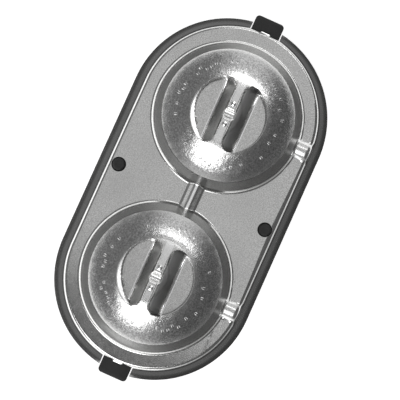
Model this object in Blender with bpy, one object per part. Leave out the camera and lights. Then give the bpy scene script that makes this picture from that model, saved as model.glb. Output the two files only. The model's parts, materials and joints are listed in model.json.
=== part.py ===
"""Cover and diaphragm gasket of a twin-chamber fluid reservoir.

A stamped steel lid with two ribbed domes, over one rubber moulding: a flat
sheet with two locating buttons, two pull tabs and two bellows. X runs along
the lid, +Z points out of its domed side, and the bellows stand on Z = 0.
"""

import math

import bmesh
import bpy

MM = 0.001

# Lid outline: two half circles joined by straight sides
OUTLINE_CENTRE_X = 35.9 * MM
FLAT_RADIUS = 34.9 * MM
BEND_RADIUS = 2.0 * MM
SKIRT_DRAFT = math.radians(20)
LIP_FLARE = math.radians(37)
LIP_HEIGHT = 2.4 * MM
SKIRT_HEIGHT = 10.0 * MM
METAL = 1.0 * MM

# Domes: corners of the outer side as (radius, height over the flange), from the foot up
DOME_CENTRE_X = 35.0 * MM
DOME_CORNERS = (
    (30.4 * MM, 0.0),
    (28.7 * MM, 1.3 * MM),
    (25.9 * MM, 6.9 * MM),
    (24.6 * MM, 8.7 * MM),
    (20.5 * MM, 11.0 * MM),
    (16.6 * MM, 12.3 * MM),
)
DOME_HEIGHT = 12.5 * MM

# Pockets, one on each side of a rib that crosses each dome along X and leans to +Y
POCKET_FLOOR = 5.0 * MM
POCKET_FLOOR_RADIUS = 14.4 * MM
POCKET_RIM_RADIUS = 16.0 * MM
RIB_FOOT_REAR = 5.9 * MM
RIB_FOOT_FRONT = 7.4 * MM
RIB_HALF_TOP = 1.4 * MM

# Seat for a retaining wire, across the middle of each rib
SEAT_FLOOR_WIDTH = 2.0 * MM
SEAT_DEPTH = 1.2 * MM
SEAT_SIDE = math.radians(45)

# Channel that joins the domes
LINK_HALF_FOOT = 3.4 * MM
LINK_HALF_TOP = 0.8 * MM
LINK_HEIGHT = 1.6 * MM
LINK_HALF_LENGTH = 9.0 * MM

# Vent bead of each dome, from inside the dome's foot to the lid's bend on the -Y side
VENT_HALF_WIDTH = 3.6 * MM
VENT_HEIGHT = 1.9 * MM
VENT_START_Y = -27.0 * MM
VENT_CREST_END_Y = -34.4 * MM
VENT_END_Y = -36.6 * MM
VENT_END_TOP = -0.9 * MM

# Rubber sheet and its locating buttons
CLEARANCE = 0.35 * MM
GASKET_THICKNESS = 2.2 * MM
GASKET_RADIUS = 35.2 * MM
GASKET_MOUTH_RADIUS = 25.8 * MM
BUTTON_Y = 31.9 * MM
BUTTON_RADIUS = 2.6 * MM
BUTTON_CHAMFER = 0.5 * MM
BUTTON_PROUD = 0.4 * MM
BUTTON_HOLE_RADIUS = 2.95 * MM

# Bellows: chevron folds, narrowest at half height, over a cup
FOLD_COUNT = 3
FOLD_HEIGHT = 3.1 * MM
FOLD_GAP = 0.3 * MM
FOLD_CREST_RADIUS = 25.5 * MM
FOLD_WAIST_RADIUS = 23.4 * MM
FOLD_WALL = 1.9 * MM
CUP_HEIGHT = 4.5 * MM
CUP_RADIUS = 24.9 * MM
CUP_FOOT_RADIUS = 23.4 * MM
CUP_WALL = 1.5 * MM
CUP_HOLLOW_RADIUS = 22.7 * MM

# Pull tabs, one at each end, through slots in the skirt
TAB_WIDTH = 12.1 * MM
TAB_THICKNESS = 2.0 * MM
TAB_HINGE_X = 72.5 * MM
TAB_TIP_X = 78.2 * MM
TAB_CORNER = 1.3 * MM
TAB_DROP = 1.3 * MM
TAB_SLOT_WIDTH = 13.0 * MM
TAB_SLOT_START_X = 71.4 * MM

# Heights, counted from the plane that the bellows stand on
GASKET_BOTTOM = CUP_HEIGHT + FOLD_COUNT * (FOLD_HEIGHT + FOLD_GAP) + FOLD_GAP
GASKET_TOP = GASKET_BOTTOM + GASKET_THICKNESS
FLANGE_TOP = GASKET_TOP + CLEARANCE + METAL
SKIRT_BOTTOM = FLANGE_TOP - SKIRT_HEIGHT
TAB_HINGE_Z = GASKET_TOP - TAB_DROP

# Segments of the faceted round shapes, and how far a tool runs past what it cuts
HALF_OUTLINE_STEPS = 20
DOME_STEPS = 40
BEND_STEPS = 3
POCKET_ARC_STEPS = 12
VENT_STEPS = 6
ROUND_STEPS = 16
FOLD_STEPS = 32
OVERRUN = 4.0 * MM
POCKET_OVERRUN = 1.5 * MM
SUNK = 0.5 * MM
FOOT_RUN_ON = 0.4

SIDES = {"left": -1, "right": 1}


def clear_scene():
    for old in list(bpy.data.objects):
        bpy.data.objects.remove(old)


def material(name, colour, roughness, metallic):
    made = bpy.data.materials.new(name)
    made.use_nodes = True
    shader = made.node_tree.nodes["Principled BSDF"]
    shader.inputs["Base Color"].default_value = (*colour, 1.0)
    shader.inputs["Roughness"].default_value = roughness
    shader.inputs["Metallic"].default_value = metallic
    return made


def arc(centre, radius, start, end, steps):
    """Points of an arc in its plane, from one angle to the other, both ends included."""
    angles = [start + (end - start) * i / steps for i in range(steps + 1)]
    return [(centre[0] + radius * math.cos(a), centre[1] + radius * math.sin(a)) for a in angles]


def circle(centre, radius, steps):
    return arc(centre, radius, 0, 2 * math.pi, steps)[:-1]


def obround(radius):
    """Outline of two half circles joined by straight sides, anticlockwise."""
    quarter = math.pi / 2
    right = arc((OUTLINE_CENTRE_X, 0), radius, -quarter, quarter, HALF_OUTLINE_STEPS)
    left = arc((-OUTLINE_CENTRE_X, 0), radius, quarter, 3 * quarter, HALF_OUTLINE_STEPS)
    return right + left


def level(outline, z):
    """A flat outline lifted to height z."""
    return [(x, y, z) for x, y in outline]


def add_object(name, form):
    """Turns a bmesh into a linked object whose faces point out."""
    bmesh.ops.recalc_face_normals(form, faces=form.faces)
    mesh = bpy.data.meshes.new(name)
    form.to_mesh(mesh)
    form.free()
    made = bpy.data.objects.new(name, mesh)
    bpy.context.scene.collection.objects.link(made)
    return made


def loft(name, rings):
    """A closed solid through rings of equally many points, with a flat cap on both ends."""
    form = bmesh.new()
    rows = [[form.verts.new(point) for point in ring] for ring in rings]
    for low, high in zip(rows, rows[1:]):
        for i in range(len(low)):
            j = (i + 1) % len(low)
            form.faces.new((low[i], low[j], high[j], high[i]))
    form.faces.new(list(reversed(rows[0])))
    form.faces.new(rows[-1])
    return add_object(name, form)


def turned_ring(name, centre, profile, steps):
    """A closed ring, turned round a vertical axis from a closed (radius, z) profile."""
    form = bmesh.new()
    rows = []
    for i in range(steps):
        turn = 2 * math.pi * i / steps
        across, along = math.cos(turn), math.sin(turn)
        rows.append([form.verts.new((centre[0] + r * across, centre[1] + r * along, z)) for r, z in profile])
    for here, after in zip(rows, rows[1:] + rows[:1]):
        for i in range(len(profile)):
            j = (i + 1) % len(profile)
            form.faces.new((here[i], after[i], after[j], here[j]))
    return add_object(name, form)


def boolean(target, operation, tools):
    """Joins tools to target, or cuts them out of it, and removes them."""
    for tool in tools:
        step = target.modifiers.new(tool.name, "BOOLEAN")
        step.operation = operation
        step.solver = "EXACT"
        step.object = tool
    evaluated = target.evaluated_get(bpy.context.evaluated_depsgraph_get())
    target.data = bpy.data.meshes.new_from_object(evaluated)
    target.modifiers.clear()
    for tool in tools:
        bpy.data.objects.remove(tool)


def inset_profile(points, distance):
    """Moves the outer side of a profile, listed downwards, inwards by distance with mitred corners."""
    normals = []
    for (r0, z0), (r1, z1) in zip(points, points[1:]):
        length = math.hypot(r1 - r0, z1 - z0)
        normals.append(((z1 - z0) / length, (r0 - r1) / length))
    moved = []
    for i, (r, z) in enumerate(points):
        above = normals[max(i - 1, 0)]
        below = normals[min(i, len(normals) - 1)]
        share = distance / (1 + above[0] * below[0] + above[1] * below[1])
        moved.append((r + (above[0] + below[0]) * share, z + (above[1] + below[1]) * share))
    return moved


def run_on(start, end, share):
    """The point past end, on the line from start, by a share of their distance."""
    return tuple(b + (b - a) * share for a, b in zip(start, end))


def skirt_profile():
    """Outer side of the flat's edge, the bend, the drafted skirt and its flared lip, from the top down."""
    bend_end = math.pi / 2 - SKIRT_DRAFT
    profile = [(FLAT_RADIUS - OVERRUN, FLANGE_TOP)]
    for i in range(BEND_STEPS + 1):
        turn = bend_end * i / BEND_STEPS
        drop = BEND_RADIUS * (1 - math.cos(turn))
        profile.append((FLAT_RADIUS + BEND_RADIUS * math.sin(turn), FLANGE_TOP - drop))
    lip_top = SKIRT_BOTTOM + LIP_HEIGHT
    radius, z = profile[-1]
    lip_radius = radius + (z - lip_top) * math.tan(SKIRT_DRAFT)
    profile.append((lip_radius, lip_top))
    profile.append((lip_radius + LIP_HEIGHT * math.tan(LIP_FLARE), SKIRT_BOTTOM))
    return profile


def tray_form(inset):
    """The lid without its domes: a shallow tray turned upside down."""
    profile = inset_profile(skirt_profile(), inset)[1:]
    if inset:
        profile.append(run_on(profile[-2], profile[-1], 1))
    return loft("tray", [level(obround(r), z) for r, z in reversed(profile)])


def dome_form(side, inset):
    """One dome as a solid with its foot sunk in the tray."""
    outside = [(RIB_HALF_TOP, DOME_HEIGHT), *reversed(DOME_CORNERS), (FLAT_RADIUS, 0.0)]
    *wall, foot, _ = inset_profile(outside, inset)
    profile = [*wall, run_on(wall[-1], foot, FOOT_RUN_ON)]
    centre = (side * DOME_CENTRE_X, 0)
    rings = [level(circle(centre, r, DOME_STEPS), FLANGE_TOP + z) for r, z in reversed(profile)]
    return loft("dome", rings)


def link_form(inset):
    """The channel between the domes, a ridge with sloped sides that ends inside both."""
    side_slope = math.atan2(LINK_HEIGHT, LINK_HALF_FOOT - LINK_HALF_TOP)
    half_top = LINK_HALF_TOP - inset * math.tan(side_slope / 2)
    height = LINK_HEIGHT + SUNK
    half_foot = half_top + height / math.tan(side_slope)
    top = FLANGE_TOP + LINK_HEIGHT - inset
    section = [(-half_foot, top - height), (half_foot, top - height), (half_top, top), (-half_top, top)]
    return loft("link", [[(x, y, z) for y, z in section] for x in (-LINK_HALF_LENGTH, LINK_HALF_LENGTH)])


def vent_form(side, inset):
    """One vent bead, a round ridge from inside the dome to the bend, where it dips into the metal."""
    end_slope = math.atan2(VENT_HEIGHT - VENT_END_TOP, VENT_CREST_END_Y - VENT_END_Y)
    pull_back = inset * math.tan(end_slope / 2)
    stations = (
        (VENT_START_Y, VENT_HEIGHT),
        (VENT_CREST_END_Y + pull_back, VENT_HEIGHT),
        (VENT_END_Y + pull_back, VENT_END_TOP),
    )
    rise = VENT_HEIGHT + SUNK / 2 - inset
    rings = []
    for y, crest in stations:
        centre_z = FLANGE_TOP + crest - inset - rise
        ring = []
        for i in range(VENT_STEPS + 1):
            turn = math.pi * i / VENT_STEPS
            across = (VENT_HALF_WIDTH - inset) * math.cos(turn)
            ring.append((side * DOME_CENTRE_X + across, y, centre_z + rise * math.sin(turn)))
        foot_z = centre_z - inset - SUNK
        ring.append((ring[-1][0], y, foot_z))
        ring.append((ring[0][0], y, foot_z))
        rings.append(ring)
    return loft("vent", rings)


def pocket_outline(centre_x, side, radius, chord):
    """A D: an arc round the dome's centre, closed by a chord at its distance from the rib's middle."""
    start = math.asin(chord / radius)
    points = arc((0, 0), radius, start, math.pi - start, POCKET_ARC_STEPS)
    return [(centre_x + x, side * y) for x, y in points]


def pocket_cutter(dome_side, side, rib_foot, inset):
    """The space beside a rib, which widens upwards and runs on past the top of the dome."""
    depth = DOME_HEIGHT - POCKET_FLOOR
    rib_run = (rib_foot - RIB_HALF_TOP) / depth
    wall_run = (POCKET_RIM_RADIUS - POCKET_FLOOR_RADIUS) / depth
    chord = rib_foot - inset * math.tan(math.atan2(1, rib_run) / 2)
    radius = POCKET_FLOOR_RADIUS + inset * math.tan(math.atan2(1, wall_run) / 2)
    floor_z = FLANGE_TOP + POCKET_FLOOR - inset
    height = depth + POCKET_OVERRUN
    centre_x = dome_side * DOME_CENTRE_X
    low = pocket_outline(centre_x, side, radius, chord)
    high = pocket_outline(centre_x, side, radius + wall_run * height, chord - rib_run * height)
    return loft("pocket", [level(low, floor_z), level(high, floor_z + height)])


def seat_cutter(side, inset):
    """The wire's seat, a flat-bottomed groove across the top of a rib."""
    floor_z = FLANGE_TOP + DOME_HEIGHT - SEAT_DEPTH - inset
    half_floor = SEAT_FLOOR_WIDTH / 2 + inset * math.tan(SEAT_SIDE / 2)
    height = 2 * SEAT_DEPTH
    half_mouth = half_floor + height / math.tan(SEAT_SIDE)
    centre_x = side * DOME_CENTRE_X
    section = [
        (centre_x - half_floor, floor_z),
        (centre_x + half_floor, floor_z),
        (centre_x + half_mouth, floor_z + height),
        (centre_x - half_mouth, floor_z + height),
    ]
    return loft("seat", [[(x, y, z) for x, z in section] for y in (-RIB_FOOT_REAR, RIB_FOOT_REAR)])


def stamped_form(inset):
    """Everything under the lid's outer surface, or under its inner one when inset is the metal's thickness."""
    form = tray_form(inset)
    joined = [link_form(inset)]
    cut = []
    for side in SIDES.values():
        joined.append(dome_form(side, inset))
        joined.append(vent_form(side, inset))
        cut.append(pocket_cutter(side, 1, RIB_FOOT_REAR, inset))
        cut.append(pocket_cutter(side, -1, RIB_FOOT_FRONT, inset))
        cut.append(seat_cutter(side, inset))
    boolean(form, "UNION", joined)
    boolean(form, "DIFFERENCE", cut)
    return form


def button_hole_cutter(side):
    outline = circle((0, side * BUTTON_Y), BUTTON_HOLE_RADIUS, ROUND_STEPS)
    return loft("button_hole", [level(outline, FLANGE_TOP + shift) for shift in (-OVERRUN, OVERRUN)])


def tab_slot_cutter(side):
    """The open slot in the end of the skirt, from the start of the bend down."""
    near = side * TAB_SLOT_START_X
    far = side * (TAB_TIP_X + OVERRUN)
    half = TAB_SLOT_WIDTH / 2
    outline = [(near, -half), (far, -half), (far, half), (near, half)]
    return loft("tab_slot", [level(outline, z) for z in (SKIRT_BOTTOM - OVERRUN, FLANGE_TOP + OVERRUN)])


def build_cover(steel):
    cover = stamped_form(0)
    cover.name = "cover_shell"
    boolean(cover, "DIFFERENCE", [stamped_form(METAL)])
    cuts = [cutter(side) for side in SIDES.values() for cutter in (button_hole_cutter, tab_slot_cutter)]
    boolean(cover, "DIFFERENCE", cuts)
    cover.data.materials.clear()
    cover.data.materials.append(steel)


def locating_button(side):
    """A short peg that stands out of the sheet and through the lid, with a chamfered top."""
    centre = (0, side * BUTTON_Y)
    top = FLANGE_TOP + BUTTON_PROUD
    sections = (
        (BUTTON_RADIUS, GASKET_TOP - GASKET_THICKNESS / 2),
        (BUTTON_RADIUS, top - BUTTON_CHAMFER),
        (BUTTON_RADIUS - BUTTON_CHAMFER, top),
    )
    return loft("button", [level(circle(centre, r, ROUND_STEPS), z) for r, z in sections])


def bellows_mouth_cutter(side):
    outline = circle((side * DOME_CENTRE_X, 0), GASKET_MOUTH_RADIUS, FOLD_STEPS)
    return loft("mouth", [level(outline, z) for z in (GASKET_BOTTOM - OVERRUN, GASKET_TOP + OVERRUN)])


def build_gasket_sheet(rubber):
    """The flat sheet with its two buttons, open where the bellows hang."""
    sheet = loft("gasket_sheet", [level(obround(GASKET_RADIUS), z) for z in (GASKET_BOTTOM, GASKET_TOP)])
    boolean(sheet, "UNION", [locating_button(side) for side in SIDES.values()])
    boolean(sheet, "DIFFERENCE", [bellows_mouth_cutter(side) for side in SIDES.values()])
    sheet.data.materials.clear()
    sheet.data.materials.append(rubber)


def build_fold(name, centre, top, rubber):
    """One chevron fold of a bellows, a ring that is open through its middle."""
    bottom = top - FOLD_HEIGHT
    middle = (top + bottom) / 2
    profile = [
        (FOLD_CREST_RADIUS, bottom),
        (FOLD_WAIST_RADIUS, middle),
        (FOLD_CREST_RADIUS, top),
        (FOLD_CREST_RADIUS - FOLD_WALL, top),
        (FOLD_WAIST_RADIUS - FOLD_WALL, middle),
        (FOLD_CREST_RADIUS - FOLD_WALL, bottom),
    ]
    turned_ring(name, centre, profile, FOLD_STEPS).data.materials.append(rubber)


def build_cup(name, centre, rubber):
    """The closed lower end of a bellows, open on top."""
    outside = ((CUP_FOOT_RADIUS, 0), (CUP_RADIUS, CUP_RADIUS - CUP_FOOT_RADIUS), (CUP_RADIUS, CUP_HEIGHT))
    cup = loft(name, [level(circle(centre, r, FOLD_STEPS), z) for r, z in outside])
    hollow = circle(centre, CUP_HOLLOW_RADIUS, FOLD_STEPS)
    hollow_heights = (CUP_WALL, CUP_HEIGHT + OVERRUN)
    boolean(cup, "DIFFERENCE", [loft("hollow", [level(hollow, z) for z in hollow_heights])])
    cup.data.materials.clear()
    cup.data.materials.append(rubber)


def build_bellows(side_name, side, rubber):
    centre = (side * DOME_CENTRE_X, 0)
    for i in range(FOLD_COUNT):
        top = GASKET_BOTTOM - FOLD_GAP - i * (FOLD_HEIGHT + FOLD_GAP)
        build_fold(f"bellows_fold_{side_name}_{i + 1}", centre, top, rubber)
    build_cup(f"bellows_cup_{side_name}", centre, rubber)


def build_pull_tab(side_name, side, rubber):
    """A flat tab with a half-round root on its hinge line, and chamfered outer corners."""
    half = TAB_THICKNESS / 2
    root = arc((0, 0), half, math.pi / 2, 3 * math.pi / 2, ROUND_STEPS // 2)
    rings = []
    for y, tip_x in (
        (-TAB_WIDTH / 2, TAB_TIP_X - TAB_CORNER),
        (-TAB_WIDTH / 2 + TAB_CORNER, TAB_TIP_X),
        (TAB_WIDTH / 2 - TAB_CORNER, TAB_TIP_X),
        (TAB_WIDTH / 2, TAB_TIP_X - TAB_CORNER),
    ):
        reach = tip_x - TAB_HINGE_X
        section = root + [(reach, -half), (reach, half)]
        rings.append([(side * x, y, z) for x, z in section])
    tab = loft(f"pull_tab_{side_name}", rings)
    tab.location = (side * TAB_HINGE_X, 0, TAB_HINGE_Z)
    tab.data.materials.append(rubber)


def main():
    clear_scene()
    steel = material("zinc_plated_steel", (0.62, 0.62, 0.61), 0.34, 1.0)
    rubber = material("black_rubber", (0.025, 0.025, 0.026), 0.62, 0.0)
    build_cover(steel)
    build_gasket_sheet(rubber)
    for side_name, side in SIDES.items():
        build_bellows(side_name, side, rubber)
        build_pull_tab(side_name, side, rubber)


main()
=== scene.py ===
"""Visual model of a twin-reservoir cover and its diaphragm gasket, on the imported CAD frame.

The stamped lid, the rubber sheet, its bellows and its pull tabs are rebuilt here with the soft
edges, fillets and surface grain of the real parts, in metres and in the frame's own coordinates.
"""

import functools
import json
import math

import bmesh
import bpy
import numpy as np
from mathutils import Matrix, Vector


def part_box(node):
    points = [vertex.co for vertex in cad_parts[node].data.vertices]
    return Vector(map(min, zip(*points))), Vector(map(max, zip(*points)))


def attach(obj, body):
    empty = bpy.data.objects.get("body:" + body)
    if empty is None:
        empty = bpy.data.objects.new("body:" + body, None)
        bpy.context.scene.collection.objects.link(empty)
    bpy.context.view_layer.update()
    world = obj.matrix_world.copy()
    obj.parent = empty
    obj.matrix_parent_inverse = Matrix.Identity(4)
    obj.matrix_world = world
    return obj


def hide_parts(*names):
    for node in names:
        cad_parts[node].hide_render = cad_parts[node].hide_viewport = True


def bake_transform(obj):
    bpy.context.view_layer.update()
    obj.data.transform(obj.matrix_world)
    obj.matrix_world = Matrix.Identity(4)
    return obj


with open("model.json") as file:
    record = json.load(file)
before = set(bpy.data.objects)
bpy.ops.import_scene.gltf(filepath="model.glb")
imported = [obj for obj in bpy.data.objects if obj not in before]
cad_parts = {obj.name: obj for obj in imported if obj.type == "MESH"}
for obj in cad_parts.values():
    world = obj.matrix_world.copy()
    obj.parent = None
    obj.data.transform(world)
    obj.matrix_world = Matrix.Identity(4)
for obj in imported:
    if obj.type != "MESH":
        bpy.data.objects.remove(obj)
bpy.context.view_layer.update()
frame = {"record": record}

MM = 0.001
QUARTER_TURN = math.pi / 2
FULL_TURN = 2 * math.pi
SIDES = {"left": -1, "right": 1}

# Places that come from the frame
mounts = {mount["name"]: mount["pos_m"] for mount in frame["record"]["mounts"]}
DOME_X = mounts["wire_seat_right"][0]
SEAT_FLOOR_Z = mounts["wire_seat_right"][2]
LID_LOW, LID_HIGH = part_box("cover_shell")
SHEET_LOW, SHEET_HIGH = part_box("gasket_sheet")
CUP_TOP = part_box("bellows_cup_right")[1].z
TAB_LOW, TAB_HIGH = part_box("pull_tab_right")

# Stamped lid
METAL = 1.0 * MM
DOME_HEIGHT = 12.5 * MM
FLANGE_TOP = LID_HIGH.z - DOME_HEIGHT
OUTLINE_X = 35.9 * MM
FLAT_RADIUS = 34.9 * MM
BEND_RADIUS = 1.3 * MM
BEND_TURN = math.radians(40)
SHOULDER_RADIUS = 4.0 * MM
SKIRT_DRAFT = math.radians(20)
LIP_FLARE = math.radians(37)
LIP_HEIGHT = 2.4 * MM
LIP_ROUNDING = 0.5 * MM

# Dome: a flat crown, an arc that falls away from it over up to a share of its radius, and a steep wall
CROWN_FLAT_RADIUS = 8.5 * MM
CROWN_ARC_RADIUS = 34.0 * MM
CROWN_ARC_SHARE = 0.95
WALL_RADIUS_AT_FOOT = 30.1 * MM
WALL_SLOPE = 2.0
FOOT_FILLET = 1.8 * MM
SHOULDER_ROUNDING = 0.02 * MM
SHOULDER_SEARCH_RADIUS = 0.005 * MM
SHOULDER_SEARCH_HEIGHT = 0.1 * MM

# Pockets, rib and wire seat
POCKET_FLOOR = 5.0 * MM
POCKET_RIM_RADIUS = 15.2 * MM
POCKET_WALL_DRAFT = 0.35 * MM
RIM_CHAMFER_REACH = 1.8 * MM
RIM_CHAMFER_SLOPE = 0.80
RIM_CHAMFER_TURN = math.radians(122)
CHAMFER_ROUNDING = 0.2 * MM
RIB_FOOT_REAR = 5.9 * MM
RIB_FOOT_FRONT = 7.4 * MM
RIB_HALF_TOP = 1.4 * MM
POCKET_FLOOR_FILLET = 1.0 * MM
RIB_FLOOR_FILLET = 0.6 * MM
POCKET_CORNER_RADIUS = 7.0 * MM
POCKET_WALL_BLEND = 0.4 * MM
POCKET_CORNER_BLEND = 0.8 * MM
RIM_ROUNDING = 0.3 * MM
SEAT_DEPTH = LID_HIGH.z - SEAT_FLOOR_Z
SEAT_HALF_FLOOR = 0.8 * MM
SEAT_SIDE_SLOPE = 1.0
SEAT_ROUNDING = 0.5 * MM
SEAT_REACH = 4.0 * MM
BEAD_DISTANCE = 4.3 * MM
BEAD_RADIUS = 1.2 * MM
BEAD_HEIGHT = 0.25 * MM

# Spacing of the lid's rings, and the zones round the seat, the rim and the foot where they are fine
FINE_STEP = 0.18 * MM
COARSE_STEP = 0.42 * MM
SEAT_ZONE = 4.5 * MM
RIM_ZONE_START = POCKET_RIM_RADIUS - 2.4 * MM
RIM_ZONE_END = POCKET_RIM_RADIUS + 0.6 * MM
LAST_RING_RADIUS = WALL_RADIUS_AT_FOOT + 1.6 * MM

# Segments of the lid: its flat's edge, the flat from dome to edge, and the profile of its skirt
STRAIGHT_STEPS = 44
END_STEPS = 144
SEAM_STEPS = 120
FLAT_STEPS = 9
BEND_STEPS = 8
SHOULDER_STEPS = 6
SKIRT_STEPS = 15

# Link channel and vent beads
LINK_HALF_TOP = 0.8 * MM
LINK_HALF_FOOT = 3.2 * MM
LINK_HEIGHT = 1.6 * MM
LINK_ROUNDING = 0.3 * MM
VENT_HEIGHT = 1.9 * MM
VENT_HALF_FOOT = 3.6 * MM
VENT_INNER_NARROWING = 0.9
VENT_TOP_RADIUS = 4.4 * MM
VENT_SIDE_SLOPE = 1.6
VENT_ROUNDING = 0.35 * MM
VENT_START = 29.4 * MM
VENT_RAMP = 0.5 * MM
VENT_FADE = (34.2 * MM, 37.2 * MM)

# Openings in the lid, and how far each cutting tool runs past what it cuts
CUT_OVERLAP = 2.0 * MM
BUTTON_Y = 31.9 * MM
BUTTON_HOLE_RADIUS = 2.95 * MM
BUTTON_HOLE_STEPS = 64
TAB_SLOT_HALF_WIDTH = 6.5 * MM
TAB_SLOT_START = 71.4 * MM

# Tongue of the flange over the root of each pull tab
TONGUE_HALF_WIDTH = 2.4 * MM
TONGUE_ROOT = 69.9 * MM
TONGUE_TIP = 72.2 * MM
TONGUE_CORNER = (0.5 * MM, 0.7 * MM)
TONGUE_EDGE = 0.25 * MM
TONGUE_EASE = 0.075 * MM
TONGUE_GAP = 0.02 * MM

# Rubber sheet and its locating buttons, whose tops are given as (inset, drop)
SHEET_THICKNESS = 2.2 * MM
SHEET_RADIUS = 35.2 * MM
SHEET_EDGE = 0.4 * MM
SHEET_EASE = 0.12 * MM
SHEET_END_STEPS = 72
MOUTH_RADIUS = 25.8 * MM
MOUTH_STEPS = 128
BUTTON_RADIUS = 2.6 * MM
BUTTON_TOP = (
    (0.0, 0.7 * MM),
    (0.15 * MM, 0.3 * MM),
    (0.5 * MM, 0.05 * MM),
    (0.9 * MM, 0.0),
    (1.5 * MM, 0.1 * MM),
    (2.3 * MM, 0.2 * MM),
)
BUTTON_ROOT_DEPTH = 1.0 * MM
BUTTON_STEPS = 48

# Bellows: a wavy wall over a cup, whose foot has a shallow ring-shaped recess
BELLOWS_TOP = SHEET_LOW.z + 0.8 * MM
BELLOWS_CREST_RADIUS = 25.5 * MM
BELLOWS_WAIST_RADIUS = 23.4 * MM
BELLOWS_FOLDS = 3
BELLOWS_WALL = 1.2 * MM
FOLD_STEPS = 12
BELLOWS_TURN_STEPS = 128
CUP_RADIUS = 24.9 * MM
CUP_FOOT_RADIUS = 23.4 * MM
CUP_WALL_TOP = CUP_TOP - 1.0 * MM
FOOT_RECESS_DEPTH = 0.5 * MM
FOOT_RECESS_OUTER = (17.0 * MM, 16.6 * MM)
FOOT_RECESS_INNER = (4.0 * MM, 3.4 * MM)
FOOT_CENTRE_RADIUS = 0.05 * MM

# Pull tabs, cut into thin slices across the part near their roots
TAB_ROOT = 70.3 * MM
TAB_CORNER = 1.5 * MM
TAB_EDGE = 0.35 * MM
TAB_EASE = 0.1 * MM
TAB_FIRST_SLICE = 71.0 * MM
TAB_SLICE = 0.5 * MM
TAB_SLICES = 14

# Steps of a quarter turn at rounded corners, and the angles in degrees above which edges stay sharp
CORNER_STEPS = 6
COVER_SHARP_ANGLE = 40
SHEET_SHARP_ANGLE = 35
BELLOWS_SHARP_ANGLE = 60
TAB_SHARP_ANGLE = 50

# Raised marks on the domes. MARK_SIDE is where a mark's side fades, as shares of its step from its
# middle, and a step holds a mark where its random number is over MARK_CHANCE.
MARKS_PER_TURN = 62
MARK_RADII = (19.2 * MM, 22.0 * MM)
MARK_LENGTH = 1.0 * MM
MARK_HEIGHT = 0.22 * MM
MARK_SIDE = (0.12, 0.24)
MARK_CHANCE = (0.44, 0.46)

# Share of painted highlight on the rib tops, roughnesses of the steel's zones, and the place of the painted
# bright line beside a rib's foot
RIB_HIGHLIGHT = 0.55
RIB_WALL_ROUGHNESS = 0.42
WALL_ROUGHNESS = 0.30
FOOT_LINE_OFFSET = 0.35 * MM

# Noise scales of the materials, per metre
GRAIN_SCALE = 2600.0
SPECKS_SCALE = 1500.0
BLOTCHES_SCALE = 420.0
CLOUDS_SCALE = 60.0
RUBBER_SKIN_SCALE = 1800.0
RUBBER_BLOOM_SCALE = 90.0

# Studio: directions point out from the lid, and the floor's size is in metres
KEY_DIRECTION = (-0.75, 0.66, 0.0)
FRONT_DIRECTION = (-0.45, -0.89, 0.0)
FLOOR_HALF_SIZE = 3.0
LIGHT_TARGET = Vector((0, 0, FLANGE_TOP))

# Camera
CAMERA_TARGET = Vector((0.24 * MM, -3.49 * MM, FLANGE_TOP))
CAMERA_PLACE = Vector((-24.4 * MM, -1.9 * MM, FLANGE_TOP + 540.2 * MM))
CAMERA_ROLL = math.radians(24.18)
CAMERA_SENSOR_WIDTH = 36.0
CAMERA_FOCAL_LENGTH = 122.1


def soft_max(a, b, reach):
    """The larger of a and b, rounded where they differ by less than reach."""
    share = np.clip(0.5 + 0.5 * (a - b) / reach, 0, 1)
    return b + (a - b) * share + reach * share * (1 - share)


def soft_min(a, b, reach):
    """The smaller of a and b, rounded in the same way."""
    return -soft_max(-a, -b, reach)


def smooth_step(start, end, value):
    """Rises smoothly from 0 to 1 as value goes from start to end."""
    share = np.clip((value - start) / (end - start), 0, 1)
    return share * share * (3 - 2 * share)


def sink(slope, inset):
    """How far a surface of this slope drops when it moves in by inset along its normal."""
    return inset * math.hypot(1, slope)


def concave(rounding, inset):
    """Rounding of a hollow corner, which is larger on the metal's inner side."""
    return rounding * (1 + 0.4 * inset / METAL)


def convex(rounding, inset):
    """Rounding of a raised corner, which is smaller on the metal's inner side."""
    return rounding * (1 - 0.5 * inset / METAL)


def shoulder_radius():
    """Radius at which the crown's arc meets the wall, where both have the same height."""
    arc_centre = DOME_HEIGHT - CROWN_ARC_RADIUS
    rise = (WALL_RADIUS_AT_FOOT - CROWN_FLAT_RADIUS) * WALL_SLOPE - arc_centre
    square = 1 + WALL_SLOPE**2
    root = math.sqrt((WALL_SLOPE * rise) ** 2 - square * (rise**2 - CROWN_ARC_RADIUS**2))
    return CROWN_FLAT_RADIUS + (WALL_SLOPE * rise - root) / square


def dome_height(radius, inset):
    """Height of a plain dome over the flange, for the side that lies inset below the outer one."""
    fall = np.clip(radius - CROWN_FLAT_RADIUS, 0, CROWN_ARC_SHARE * (CROWN_ARC_RADIUS - inset))
    crown = DOME_HEIGHT - CROWN_ARC_RADIUS + np.sqrt((CROWN_ARC_RADIUS - inset) ** 2 - fall**2)
    wall = (WALL_RADIUS_AT_FOOT - radius) * WALL_SLOPE - sink(WALL_SLOPE, inset)
    return soft_min(crown, wall, convex(SHOULDER_ROUNDING, inset))


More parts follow.
